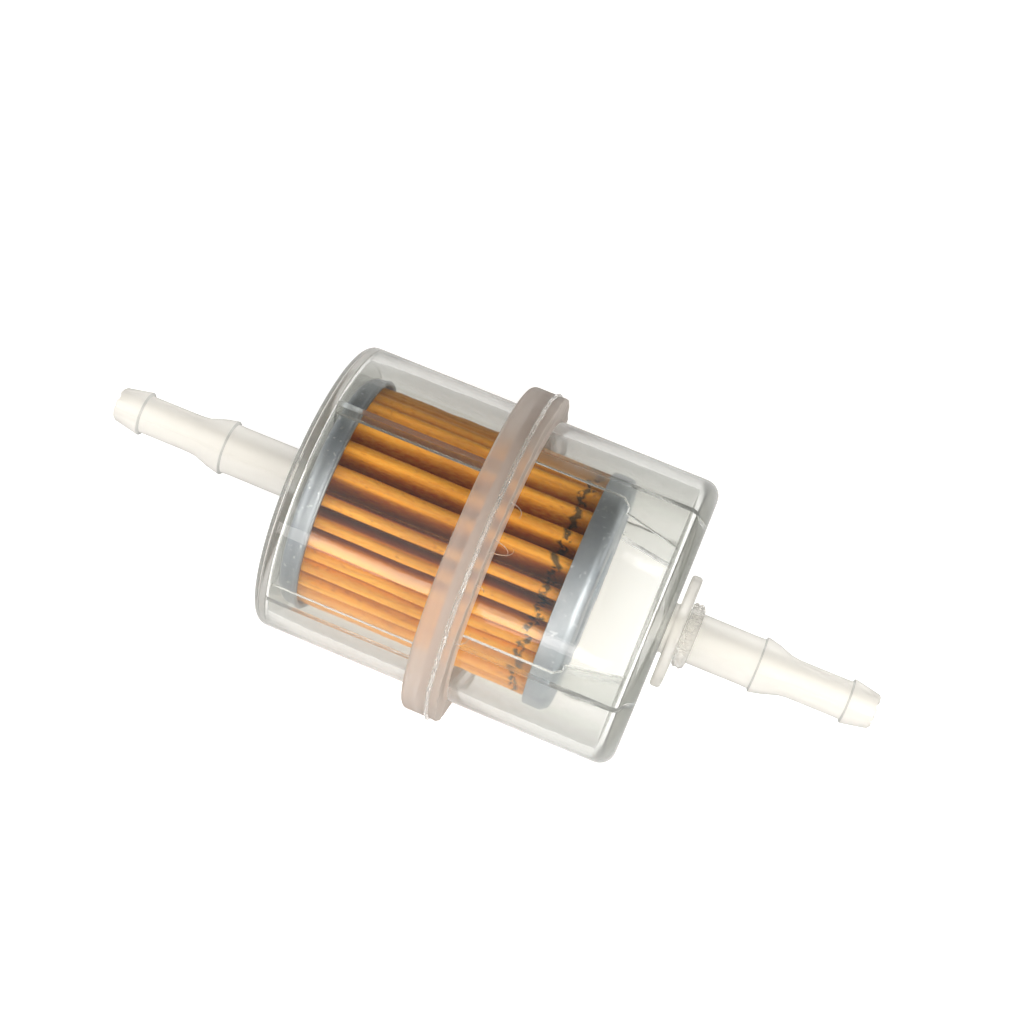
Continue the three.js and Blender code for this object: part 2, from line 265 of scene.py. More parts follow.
class Shader:
    """Short names for building one node material."""

    def __init__(self, name):
        self.material = bpy.data.materials.new(name)
        self.material.use_nodes = True
        self.tree = self.material.node_tree
        self.tree.nodes.clear()
        self.output = self.tree.nodes.new("ShaderNodeOutputMaterial")
        self.place = self.add("ShaderNodeTexCoord").outputs["Object"]

    def add(self, kind, **settings):
        node = self.tree.nodes.new(kind)
        for key, value in settings.items():
            setattr(node, key, value)
        return node

    def feed(self, socket, value):
        if isinstance(value, bpy.types.NodeSocket):
            self.tree.links.new(value, socket)
        else:
            socket.default_value = value

    def math(self, operation, a, b=0.0, c=0.0, clamp=False):
        node = self.add("ShaderNodeMath", operation=operation, use_clamp=clamp)
        for socket, value in zip(node.inputs, (a, b, c)):
            self.feed(socket, value)
        return node.outputs[0]

    def noise(self, scale, detail=3.0, stretch=(1, 1, 1), roughness=0.5):
        mapping = self.add("ShaderNodeMapping")
        self.feed(mapping.inputs["Vector"], self.place)
        mapping.inputs["Scale"].default_value = stretch
        node = self.add("ShaderNodeTexNoise")
        self.feed(node.inputs["Vector"], mapping.outputs[0])
        node.inputs["Scale"].default_value = scale
        node.inputs["Detail"].default_value = detail
        node.inputs["Roughness"].default_value = roughness
        return node.outputs["Fac"]

    def ramp(self, value, low, high, out_low=0.0, out_high=1.0):
        node = self.add("ShaderNodeMapRange")
        for socket, item in zip(node.inputs, (value, low, high, out_low, out_high)):
            self.feed(socket, item)
        return node.outputs[0]

    def blend(self, factor, a, b):
        node = self.add("ShaderNodeMix", data_type="RGBA")
        self.feed(node.inputs["Factor"], factor)
        for socket, value in ((node.inputs[6], a), (node.inputs[7], b)):
            self.feed(socket, value)
        return node.outputs[2]

    def bump(self, height, distance_mm, strength=1.0):
        node = self.add("ShaderNodeBump")
        node.inputs["Strength"].default_value = strength
        node.inputs["Distance"].default_value = distance_mm * MM
        self.feed(node.inputs["Height"], height)
        return node.outputs[0]

    def axis_distance(self):
        """(x, y, z, distance from the axis), in metres."""
        parts = self.add("ShaderNodeSeparateXYZ")
        self.feed(parts.inputs[0], self.place)
        x, y, z = parts.outputs
        squares = self.math("ADD", self.math("MULTIPLY", y, y), self.math("MULTIPLY", z, z))
        return x, y, z, self.math("SQRT", squares)

    def finish(self, surface):
        self.feed(self.output.inputs["Surface"], surface)
        return self.material


def rgba(r, g, b):
    return (r, g, b, 1.0)


PLASTIC_IOR = 1.47
RIM_POWER = 1.2  # how closely the deeper tint keeps to the rim
VEIL_POWER = 2.0  # how closely the extra haze keeps to the rim
RIM_SHADE = 0.46  # the haze's colour at the rim, as a share of its colour face on
CLOUD_SCALE = 90.0
CLOUD_SHADE = 0.94  # the haze's colour in its darker clouds, as a share
CLOUD_RANGE = (0.3, 0.7)  # the part of the noise's range that is spread over a swing
GRAIN_STRENGTH = 0.6


def plastic(name, tint, rim_tint, haze, haze_colour, shadow, roughness, grain, flow=(1, 1, 1)):
    """Clear or milky moulded plastic: refraction with a share of scattered haze.

    The tint and the haze deepen towards the rim, where sight runs a long way through the wall.
    Lamps and scattered light pass straight through, as the shadow colour says. haze is its
    share face on, its swing with the clouding, and what the rim adds. grain is the surface's
    height in millimetres and its scale, and flow stretches the clouding.
    """
    s = Shader(name)
    cloud = s.noise(CLOUD_SCALE, 4.0, flow)
    grain_height, grain_scale = grain
    normal = s.bump(s.noise(grain_scale, 3.0), grain_height, GRAIN_STRENGTH)
    weight = s.add("ShaderNodeLayerWeight")
    weight.inputs["Blend"].default_value = 0.5
    rim = s.math("POWER", weight.outputs["Facing"], RIM_POWER)
    veil = s.math("POWER", weight.outputs["Facing"], VEIL_POWER)

    glass = s.add("ShaderNodeBsdfPrincipled")
    glass.inputs["Transmission Weight"].default_value = 1.0
    glass.inputs["IOR"].default_value = PLASTIC_IOR
    s.feed(glass.inputs["Base Color"], s.blend(rim, rgba(*tint), rgba(*rim_tint)))
    s.feed(glass.inputs["Roughness"], s.ramp(cloud, *CLOUD_RANGE, *roughness))
    s.feed(glass.inputs["Normal"], normal)

    near = s.add("ShaderNodeBsdfDiffuse")
    through = s.add("ShaderNodeBsdfTranslucent")
    colour = s.blend(cloud, rgba(*haze_colour), rgba(*[c * CLOUD_SHADE for c in haze_colour]))
    colour = s.blend(veil, colour, rgba(*[c * RIM_SHADE for c in haze_colour]))
    for scatter in (near, through):
        s.feed(scatter.inputs["Color"], colour)
        s.feed(scatter.inputs["Normal"], normal)
    milk = s.add("ShaderNodeMixShader")
    milk.inputs[0].default_value = 0.5
    s.feed(milk.inputs[1], near.outputs[0])
    s.feed(milk.inputs[2], through.outputs[0])

    body = s.add("ShaderNodeMixShader")
    share, swing, rim_share = haze
    clouded = s.ramp(cloud, *CLOUD_RANGE, share - swing, share + swing)
    s.feed(body.inputs[0], s.math("MULTIPLY_ADD", veil, rim_share, clouded, clamp=True))
    s.feed(body.inputs[1], glass.outputs[0])
    s.feed(body.inputs[2], milk.outputs[0])

    light = s.add("ShaderNodeLightPath")
    passing = s.math("MAXIMUM", light.outputs["Is Shadow Ray"], light.outputs["Is Diffuse Ray"])
    clear = s.add("ShaderNodeBsdfTransparent")
    clear.inputs["Color"].default_value = rgba(*shadow)
    surface = s.add("ShaderNodeMixShader")
    s.feed(surface.inputs[0], passing)
    s.feed(surface.inputs[1], body.outputs[0])
    s.feed(surface.inputs[2], clear.outputs[0])
    return s.finish(surface.outputs[0])


STEEL_TONE = 0.49
# dark steel colour blended onto the outlet cap as painted shade
PAINTED_SHADE_STEEL = (0.10, 0.11, 0.12)
SCUFFED_STEEL = (0.80, 0.82, 0.84)
SCUFF_SHARE = 0.5
OUTLET_CAP_PAINTED_SHADE = 0.4  # the outlet cap's share of darker steel, which is painted shade
PAINTED_SHADE_EDGE = 0.5  # millimetres past that cap's rim over which the painted shade ends


def tinned_steel(name):
    """Tin-plated sheet: cool grey, with rolling marks, dull patches and scuffs. The outlet cap is
    darkened with painted shade.
    """
    s = Shader(name)
    tone = STEEL_TONE
    patches = s.noise(160.0, 4.0)
    rolling = s.noise(500.0, 3.0, stretch=(9.0, 0.6, 0.6))
    scuffs = s.ramp(s.noise(1400.0, 2.0), 0.62, 0.72)
    steel = s.add("ShaderNodeBsdfPrincipled")
    steel.inputs["Metallic"].default_value = 1.0
    cool = rgba(tone * 0.94, tone, tone * 1.07)
    dull = rgba(tone * 0.70, tone * 0.77, tone * 0.86)
    colour = s.blend(s.ramp(patches, 0.35, 0.65), cool, dull)
    # painted shade: steel short of the outlet cap's rim is darkened
    x = s.axis_distance()[0]
    rim = OUTLET_CAP_RIM
    painted_shade = s.ramp(x, rim * MM, (rim + PAINTED_SHADE_EDGE) * MM, OUTLET_CAP_PAINTED_SHADE, 0.0)
    colour = s.blend(painted_shade, colour, rgba(*PAINTED_SHADE_STEEL))
    scuffed = s.math("MULTIPLY", scuffs, SCUFF_SHARE)
    s.feed(steel.inputs["Base Color"], s.blend(scuffed, colour, rgba(*SCUFFED_STEEL)))
    rough = s.ramp(patches, 0.3, 0.7, 0.36, 0.50)
    rough = s.math("ADD", rough, s.math("MULTIPLY", rolling, 0.1))
    s.feed(steel.inputs["Roughness"], rough)
    grain = s.math("ADD", rolling, s.noise(2200.0, 2.0))
    s.feed(steel.inputs["Normal"], s.bump(grain, 0.02, 0.6))
    return s.finish(steel.outputs[0])


INK_X = 10.9  # the ink line's place along the axis; this and the next two are millimetres
INK_WIDTH = 0.68
INK_WANDER = 4.0
INK = (0.018, 0.032, 0.02)
INK_SHARE = 0.86
VALLEY_SHADE_DEPTHS = (2.7, 1.1)  # millimetres below the outermost crest where the painted valley shade ends and amber starts
AMBER = ((0.97, 0.44, 0.030), (0.88, 0.31, 0.016))
# the darker colours of the pleat valleys: painted shade
PAINTED_VALLEY_SHADE = ((0.50, 0.120, 0.010), (0.36, 0.070, 0.008))
STREAK = (0.45, 0.13, 0.012)
PALE_FIBRE = (0.98, 0.62, 0.12)
SPECK = (0.30, 0.07, 0.012)


def filter_paper(name):
    """Resin-cured paper: amber crests, painted shade darkening the pleats towards their valleys,
    fibres, and a broken line of ink.
    """
    s = Shader(name)
    x, y, z, distance = s.axis_distance()
    fibre = s.noise(2600.0, 4.0, stretch=(0.35, 1.0, 1.0))
    stain = s.noise(120.0, 4.0, stretch=(0.4, 1.6, 1.6))
    # painted shade: the paper darkens from amber towards the pleat valleys, by its distance from
    # the axis
    crest = s.ramp(distance, *[(PAPER_RADIUS - depth) * MM for depth in VALLEY_SHADE_DEPTHS])
    amber = s.blend(stain, *[rgba(*c) for c in AMBER])
    valley_shade = s.blend(stain, *[rgba(*c) for c in PAINTED_VALLEY_SHADE])
    colour = s.blend(s.math("POWER", crest, 1.3), valley_shade, amber)
    streaks = s.ramp(s.noise(1100.0, 4.0, stretch=(0.07, 1.0, 1.0)), 0.42, 0.62, 0.0, 0.45)
    colour = s.blend(streaks, colour, rgba(*STREAK))
    colour = s.blend(s.ramp(fibre, 0.38, 0.66, 0.0, 0.22), colour, rgba(*PALE_FIBRE))
    specks = s.ramp(s.noise(1900.0, 2.0, stretch=(0.5, 1.0, 1.0)), 0.60, 0.74)
    colour = s.blend(s.math("MULTIPLY", specks, 0.45), colour, rgba(*SPECK))

    flat = s.add("ShaderNodeCombineXYZ")
    s.feed(flat.inputs[1], y)
    s.feed(flat.inputs[2], z)
    wander = s.add("ShaderNodeTexNoise")
    s.feed(wander.inputs["Vector"], flat.outputs[0])
    wander.inputs["Scale"].default_value = 480.0
    wander.inputs["Detail"].default_value = 1.0
    swing = s.math("MULTIPLY", s.math("SUBTRACT", wander.outputs["Fac"], 0.5), INK_WANDER * MM)
    off = s.math("ABSOLUTE", s.math("ADD", s.math("SUBTRACT", x, INK_X * MM), swing))
    line = s.ramp(off, INK_WIDTH * MM * 1.3, INK_WIDTH * MM * 0.6)
    broken = s.ramp(s.noise(1100.0, 3.0), 0.42, 0.52)
    inked = s.math("MULTIPLY", s.math("MULTIPLY", line, broken), INK_SHARE)
    colour = s.blend(inked, colour, rgba(*INK))

    paper = s.add("ShaderNodeBsdfPrincipled")
    s.feed(paper.inputs["Base Color"], colour)
    s.feed(paper.inputs["Roughness"], s.ramp(fibre, 0.2, 0.8, 0.55, 0.8))
    s.feed(paper.inputs["Normal"], s.bump(fibre, 0.09, 0.8))
    return s.finish(paper.outputs[0])


MOTTLE_SHADE = 0.72
FINE_GRAIN = 8  # the surface grain's scale, as a multiple of the mottling's


def plain_solid(name, colour, roughness, scale, bump_mm):
    """A dull moulded or cast material with mottling and a fine surface."""
    s = Shader(name)
    mottle = s.noise(scale, 4.0)
    body = s.add("ShaderNodeBsdfPrincipled")
    shade = rgba(*[c * MOTTLE_SHADE for c in colour])
    s.feed(body.inputs["Base Color"], s.blend(mottle, rgba(*colour), shade))
    s.feed(body.inputs["Roughness"], s.ramp(mottle, 0.3, 0.7, *roughness))
    s.feed(body.inputs["Normal"], s.bump(s.noise(scale * FINE_GRAIN, 3.0), bump_mm, 0.5))
    return s.finish(body.outputs[0])


CLEAR = plastic(
    "clear_plastic",
    tint=(0.98, 0.98, 0.96),
    rim_tint=(0.14, 0.15, 0.125),
    haze=(0.008, 0.006, 0.52),
    haze_colour=(0.64, 0.65, 0.6),
    shadow=(0.94, 0.94, 0.92),
    roughness=(0.02, 0.06),
    grain=(0.02, 260.0),
)
RIB = plastic(
    "rib_plastic",
    tint=(0.98, 0.985, 0.975),
    rim_tint=(0.7, 0.72, 0.7),
    haze=(0.05, 0.02, 0.12),
    haze_colour=(0.78, 0.8, 0.79),
    shadow=(0.86, 0.87, 0.86),
    roughness=(0.06, 0.14),
    grain=(0.02, 300.0),
)
COLLAR = plastic(
    "collar_plastic",
    tint=(0.95, 0.92, 0.89),
    rim_tint=(0.74, 0.71, 0.67),
    haze=(0.56, 0.09, 0.16),
    haze_colour=(0.8, 0.735, 0.675),
    shadow=(0.76, 0.72, 0.69),
    roughness=(0.28, 0.4),
    grain=(0.02, 300.0),
    flow=(9.0, 0.8, 0.8),
)
MILKY = plastic(
    "milky_plastic",
    tint=(0.995, 0.985, 0.96),
    rim_tint=(0.52, 0.51, 0.49),
    haze=(0.32, 0.05, 0.4),
    haze_colour=(1.0, 0.965, 0.9),
    shadow=(0.92, 0.92, 0.91),
    roughness=(0.28, 0.42),
    grain=(0.006, 300.0),
)
# the ridge steps' darker plastic: painted shade for the dark line at each step
SHADE = plastic(
    "ridge_step_painted_shade",
    tint=(0.8, 0.8, 0.79),
    rim_tint=(0.5, 0.5, 0.49),
    haze=(0.4, 0.05, 0.3),
    haze_colour=(0.48, 0.49, 0.47),
    shadow=(0.8, 0.8, 0.8),
    roughness=(0.28, 0.42),
    grain=(0.006, 300.0),
)
FLASH = plastic(
    "weld_flash",
    tint=(0.98, 0.97, 0.95),
    rim_tint=(0.84, 0.84, 0.82),
    haze=(0.2, 0.1, 0.2),
    haze_colour=(0.95, 0.93, 0.89),
    shadow=(0.9, 0.89, 0.87),
    roughness=(0.1, 0.25),
    grain=(0.06, 700.0),
)
STEEL = tinned_steel("tinned_steel")
PAPER = filter_paper("filter_paper")
POTTING = plain_solid("potting", (0.42, 0.25, 0.09), (0.45, 0.7), 300.0, 0.05)
RUBBER = plain_solid("seal_rubber", (0.035, 0.035, 0.038), (0.6, 0.8), 400.0, 0.02)

# ------------------------------------------------------------------ housing


def spigot_outline(root_at):
    """A spigot's outside from its root to its bore, as (distance, radius) pairs."""
    return [
        (root_at, LARGE),
        (root_at + 4.0, LARGE),
        (LARGE_RIDGE_AT - 1.6, LARGE - 0.03),
        (LARGE_RIDGE_AT - STEP_LENGTH, LARGE + 0.04),
        (LARGE_RIDGE_AT - 0.06, LARGE_RIDGE - 0.05),
        (LARGE_RIDGE_AT, LARGE_RIDGE),
        (LARGE_RIDGE_AT + 0.3, LARGE_RIDGE - 0.03),
        (LARGE_RIDGE_AT + 2.2, LARGE - 0.02),
        (CONE_END_AT - 1.2, SMALL + 0.18),
        (CONE_END_AT, SMALL + 0.03),
        (CONE_END_AT + 1.4, SMALL),
        (SMALL_RIDGE_AT - 1.0, SMALL),
        (SMALL_RIDGE_AT - STEP_LENGTH, SMALL + 0.03),
        (SMALL_RIDGE_AT - 0.06, SMALL_RIDGE - 0.05),
        (SMALL_RIDGE_AT, SMALL_RIDGE),
        (SMALL_RIDGE_AT + 0.25, SMALL_RIDGE - 0.03),
        (TIP_AT - 0.3, TIP + 0.06),
        (TIP_AT, TIP - 0.2),
        (TIP_AT, BORE + 0.15),
        (TIP_AT - 0.3, BORE),
    ]


PARTING_TURNS = (math.radians(117.0), math.radians(297.0))
PARTING_HEIGHT = 0.10
PARTING_HALF_ANGLE = 0.04  # radians
SLIT_DEPTH = 1.3
SLIT_HALF_ANGLE = 0.16  # radians
OUTLET_SLIT_TURN = math.radians(78.0)
INLET_SLIT_TURN = math.radians(146.0)
OUTLET_TEAR, INLET_TEAR = 0.5, 0.7


def parting_line(face, outwards, torn, slit_turn):
    """Raises the mould's parting line along a spigot, and tears bites and a slit in its tip."""
    noise = smooth_noise(5, (3, 7, 11, 17), torn)

    def ragged(angle):
        away = (angle - slit_turn + math.pi) % math.tau - math.pi
        return noise(angle) + SLIT_DEPTH * math.exp(-((away / SLIT_HALF_ANGLE) ** 4))

    def warp(x, r, angle):
        distance = (x - face) * outwards
        if distance > TIP_AT - 0.05:
            return x - outwards * max(0.0, ragged(angle)), r
        if r < BORE + 0.3 or distance < 0.05:
            return x, r
        for turn in PARTING_TURNS:
            away = (angle - turn + math.pi) % math.tau - math.pi
            r += PARTING_HEIGHT * math.exp(-((away / PARTING_HALF_ANGLE) ** 2))
        return x, r

    return warp


def outlet_shell():
    flange = WELD_X - WELD_GAP / 2
    start = WELD_X - OUTLET_FLANGE
    groove = WELD_X - TONGUE_LENGTH - 0.06
    groove_half = TONGUE_HALF + 0.05
    spigot = [(OUTLET_FACE - d, r) for d, r in spigot_outline(0.5)]
    profile = [
        *spigot[::-1],
        *arc(OUTLET_FACE - 0.5, LARGE + 0.5, 0.5, -90, 0, 4),
        *arc(OUTLET_FACE + OUTLET_CORNER, BARREL_RADIUS - OUTLET_CORNER, OUTLET_CORNER, 180, 90, 8),
        (start - 9.0, BARREL_RADIUS),
        *arc(start - 0.5, BARREL_RADIUS + 0.5, 0.5, -90, 0, 4),
        *arc(start + 0.9, COLLAR_RADIUS - 0.9, 0.9, 180, 90, 6),
        (flange - NOTCH, COLLAR_RADIUS),
        (flange, COLLAR_RADIUS - NOTCH),
        (flange, TONGUE_RADIUS + groove_half),
        (groove, TONGUE_RADIUS + groove_half),
        (groove, TONGUE_RADIUS - groove_half),
        (flange, TONGUE_RADIUS - groove_half),
        (flange, INNER_RADIUS),
        (OUTLET_FLOOR + 9.0, INNER_RADIUS),
        *arc(OUTLET_FLOOR + 0.8, INNER_RADIUS - 0.8, 0.8, 90, 180, 4),
        (OUTLET_FLOOR, BORE + 0.3),
        (OUTLET_FLOOR - 0.3, BORE),
    ]
    warp = parting_line(OUTLET_FACE, -1, OUTLET_TEAR, OUTLET_SLIT_TURN)
    shell = turned("clear_outlet_shell", profile, HOUSING_FACETS, warp)
    foot = OUTLET_FLOOR - OUTLET_END_WALL / 2
    rib = [
        (foot, RIB_RADIUS),
        (WELD_X - 1.0, RIB_RADIUS),
        (flange - 0.1, RIB_RADIUS + 0.6),
        (flange - 0.1, INNER_RADIUS + WALL / 2),
        (foot, INNER_RADIUS + WALL / 2),
    ]
    join_plates(shell, rib, RIB_THICKNESS, OUTLET_RIB_TURN)
    return shell


def inlet_shell():
    flange = WELD_X + WELD_GAP / 2
    end = WELD_X + INLET_FLANGE
    tongue = WELD_X - TONGUE_LENGTH
    profile = [
        (INLET_FLOOR + 0.3, BORE),
        (INLET_FLOOR, BORE + 0.3),
        *arc(INLET_FLOOR - 1.0, INNER_RADIUS - 1.0, 1.0, 0, 90, 5),
        (INLET_FLOOR - 12.0, INNER_RADIUS),
        (flange, INNER_RADIUS),
        (flange, TONGUE_RADIUS - TONGUE_HALF),
        (tongue, TONGUE_RADIUS - TONGUE_HALF),
        (tongue, TONGUE_RADIUS + TONGUE_HALF),
        (flange, TONGUE_RADIUS + TONGUE_HALF),
        (flange, COLLAR_RADIUS - NOTCH),
        (flange + NOTCH, COLLAR_RADIUS),
        *arc(end - 0.2, COLLAR_RADIUS - 0.2, 0.2, 90, 0, 3),
        *arc(end + 0.5, BARREL_RADIUS + 0.5, 0.5, 180, 270, 4),
        (end + 12.0, BARREL_RADIUS),
        *arc(INLET_FACE - INLET_CORNER, BARREL_RADIUS - INLET_CORNER, INLET_CORNER, 90, 0, 10),
        *arc(INLET_FACE + 0.3, LARGE + 0.3, 0.3, 180, 270, 3),
        *arc(INLET_FACE + NECK - 0.3, LARGE + 0.3, 0.3, 270, 360, 3),
        *arc(INLET_FACE + NECK + 0.5, DISC_RADIUS - 0.5, 0.5, 180, 90, 4),
        *arc(DISC_FACE - 0.5, DISC_RADIUS - 0.5, 0.5, 90, 0, 4),
        (DISC_FACE, LARGE + 0.9),
        (DISC_FACE, BORE),
    ]
    rim = smooth_noise(11, (2, 3, 5, 8, 13), 0.28)
    lean = smooth_noise(12, (1, 2, 3), 0.22)
    torn = smooth_noise(13, (9, 14, 23, 37, 51), 0.3)

    def warp(x, r, angle):
        if x > INLET_FACE + NECK and r > LARGE + 1.0:
            share = (r - LARGE) / (DISC_RADIUS - LARGE)
            return x + lean(angle) * share, r + rim(angle) * share
        if end - 0.3 < x < end + 0.3 and r > COLLAR_RADIUS - 0.3:
            return x + max(0.0, torn(angle)), r + max(-0.1, torn(angle + 1.0)) * 0.6
        return x, r

    shell = turned("clear_inlet_shell", profile, HOUSING_FACETS, warp)
    corner_sum = CLOSED_CAP_FACE + CAP_RADIUS - 2 * CAP_CORNER
    corner_sum += (CAP_CORNER + CAP_CLEARANCE) * math.sqrt(2)
    face = CLOSED_CAP_FACE + CAP_CLEARANCE
    foot = INLET_FLOOR + INLET_END_WALL / 2
    rib = [
        (flange + 0.1, RIB_RADIUS + 0.6),
        (WELD_X + 1.2, RIB_RADIUS),
        (corner_sum - RIB_RADIUS, RIB_RADIUS),
        (face, corner_sum - face),
        (face, PLENUM_RIB_RADIUS),
        (foot, PLENUM_RIB_END_RADIUS),
        (foot, INNER_RADIUS + WALL / 2),
        (flange + 0.1, INNER_RADIUS + WALL / 2),
    ]
    join_plates(shell, rib, RIB_THICKNESS, INLET_RIB_TURN)
    return shell


def inlet_nipple():
    root = NECK + DISC_THICKNESS + 0.05
    outline = [(INLET_FACE + d, r) for d, r in spigot_outline(root)]
    profile = [*outline, (INLET_FACE + root, BORE)]
    warp = parting_line(INLET_FACE, 1, INLET_TEAR, INLET_SLIT_TURN)
    return turned("milky_inlet_nipple", profile, SPIGOT_FACETS, warp)


def ragged_ring(name, section, facets, seed, out_mm, along_mm, whiskers=()):
    """A ring of torn weld flash: its section swells, leans and frays round the axis."""
    swell = smooth_noise(seed, (2, 5, 9, 16, 27, 44), out_mm)
    fray = smooth_noise(seed + 1, (31, 53, 78, 110), out_mm * 0.7)
    lean = smooth_noise(seed + 2, (3, 7, 12, 21, 38), along_mm)
    base = min(r for _, r in section)
    height = max(r for _, r in section) - base

    def warp(x, r, angle):
        share = (r - base) / height
        return x + lean(angle) * share, r + (swell(angle) + max(0.0, fray(angle))) * share

    bm = bmesh.new()
    add_turned(bm, section, facets, warp)
    for whisker in whiskers:
        add_whisker(bm, *whisker)
    return new_piece(name, bm, 50.0)


WHISKER_RADIUS = 0.07
WHISKER_SIDES = 5
WHISKER_STEPS = 14
WHISKER_BEND = 1.9  # radians that a whisker bends over along its length
WHISKER_PEAK = 1.57  # the bend at which it stands furthest out
LONG_WHISKER = 2.0  # above this, length is the place of the end; below it, of the furthest point
WHISKER_DROP = 2.1
WHISKER_TAPER = 0.6
# each whisker's (clock angle in degrees, length, curl across, seed)
WHISKERS = (
    (84.0, 2.2, 0.5, 1),
    (97.0, 2.6, 0.7, 2),
    (101.0, 3.2, -0.9, 3),
    (112.0, 1.6, 0.5, 4),
    (133.0, 1.9, -0.6, 5),
)


def add_whisker(bm, clock, length, curl, seed):
    """Adds one thin curled thread of flash, from the inlet flange out over the barrel."""
    wave = smooth_noise(seed, (1, 2, 3), 0.25)
    start = WELD_X + INLET_FLANGE - 0.3
    reach = math.sin(WHISKER_BEND if length > LONG_WHISKER else WHISKER_PEAK)
    steps = WHISKER_STEPS
    path = []
    for i in range(steps + 1):
        t = i / steps
        x = start + length * math.sin(t * WHISKER_BEND) / reach
        r = COLLAR_RADIUS - 0.45 - WHISKER_DROP * t * t + wave(t * 3.0) * t
        turn = math.radians(clock) + curl * t * t / 12.0
        path.append(Vector((x, r * math.cos(turn), r * math.sin(turn))))
    rings = []
    for i, point in enumerate(path):
        along = (path[min(i + 1, steps)] - path[max(i - 1, 0)]).normalized()
        side = along.cross(Vector((0, 0, 1))).normalized()
        up = side.cross(along)
        radius = WHISKER_RADIUS * (1.0 - WHISKER_TAPER * i / steps)
        ring = []
        for k in range(WHISKER_SIDES):
            a = math.tau * k / WHISKER_SIDES
            ring.append(bm.verts.new(point + (side * math.cos(a) + up * math.sin(a)) * radius))
        rings.append(ring)
    for here, after in zip(rings, rings[1:]):
        for k in range(WHISKER_SIDES):
            m = (k + 1) % WHISKER_SIDES
            bm.faces.new([here[k], here[m], after[m], after[k]])
    bm.faces.new(rings[0])
    bm.faces.new(rings[-1][::-1])


def collar_bead():
    top = BEAD_CREST - 0.25
    section = [
        (WELD_X - 0.02, COLLAR_RADIUS - 0.2),
        (WELD_X - 0.32, COLLAR_RADIUS + 0.03),
        (WELD_X - 0.22, COLLAR_RADIUS + 0.2),
        (WELD_X - 0.04, top),
        (WELD_X + 0.10, top - 0.02),
        (WELD_X + 0.24, COLLAR_RADIUS + 0.2),
        (WELD_X + 0.32, COLLAR_RADIUS + 0.03),
    ]
    return ragged_ring("ragged_collar_bead", section, 720, 21, 0.2, 0.35, WHISKERS)


def nipple_bead():
    start, end, crest = node_box("nipple_weld_bead")
    low = LARGE + 0.03
    section = [
        (start - 0.15, low),
        (start - 0.1, crest - 0.5),
        (start + 0.3, crest - 0.12),
        (start + 0.7, crest - 0.3),
        (start + 1.1, crest - 0.1),
        (end - 0.3, crest - 0.35),
        (end - 0.05, low + 0.35),
        (end, low),
    ]
    return ragged_ring("ragged_nipple_bead", section, 360, 31, 0.22, 0.25)


def zone_materials(piece, materials, zone):
    """Gives each face the material whose index zone(x, r) returns, in millimetres."""
    piece.data.materials.clear()
    for material in materials:
        piece.data.materials.append(material)
    for face in piece.data.polygons:
        x, y, z = face.center / MM
        face.material_index = zone(x, math.hypot(y, z))


CLEAR_ZONE, COLLAR_ZONE, MILKY_ZONE, RIB_ZONE, STEP_SHADE_ZONE = range(5)


def spigot_zone(distance, r):
    """The steep step of each ridge gets a darker plastic: painted shade for the dark line at the
    step.
    """
    for ridge in (LARGE_RIDGE_AT, SMALL_RIDGE_AT):
        # painted shade: faces of each ridge's step get the darker plastic
        if ridge - STEP_LENGTH < distance < ridge and r > BORE + 0.5:
            return STEP_SHADE_ZONE
    return MILKY_ZONE


def outlet_zone(x, r):
    if x < OUTLET_FACE - 0.02 or r < BORE + 0.35:
        return spigot_zone(OUTLET_FACE - x, r)
    if x > OUTLET_FLOOR + 0.1 and RIB_RADIUS - 1.0 < r < RIB_RADIUS + 0.25:
        return RIB_ZONE
    in_flange = x > WELD_X - OUTLET_FLANGE - 0.5 and r > BARREL_RADIUS + 0.02
    at_weld = x > WELD_X - 2.2 and r > INNER_RADIUS + 0.05
    return COLLAR_ZONE if in_flange or at_weld else CLEAR_ZONE


def inlet_zone(x, r):
    if x > INLET_FACE + 0.05 or r < BORE + 0.35:
        return MILKY_ZONE
    plate_top = INNER_RADIUS - 0.05 if x > CLOSED_CAP_RIM + 1.0 else RIB_RADIUS + 0.25
    if x < INLET_FLOOR - 0.1 and PLENUM_RIB_END_RADIUS - 1.0 < r < plate_top:
        return RIB_ZONE
    in_collar = x < WELD_X + INLET_FLANGE + 0.5
    return COLLAR_ZONE if in_collar and r > INNER_RADIUS + 0.05 else CLEAR_ZONE


def nipple_zone(x, r):
    return spigot_zone(x - INLET_FACE, r)


# ------------------------------------------------------------------ filter element

RECESS_RADIUS = 7.9
RECESS_DEPTH = 1.2
CAP_WOBBLE = 0.05
CAP_SEED = 18


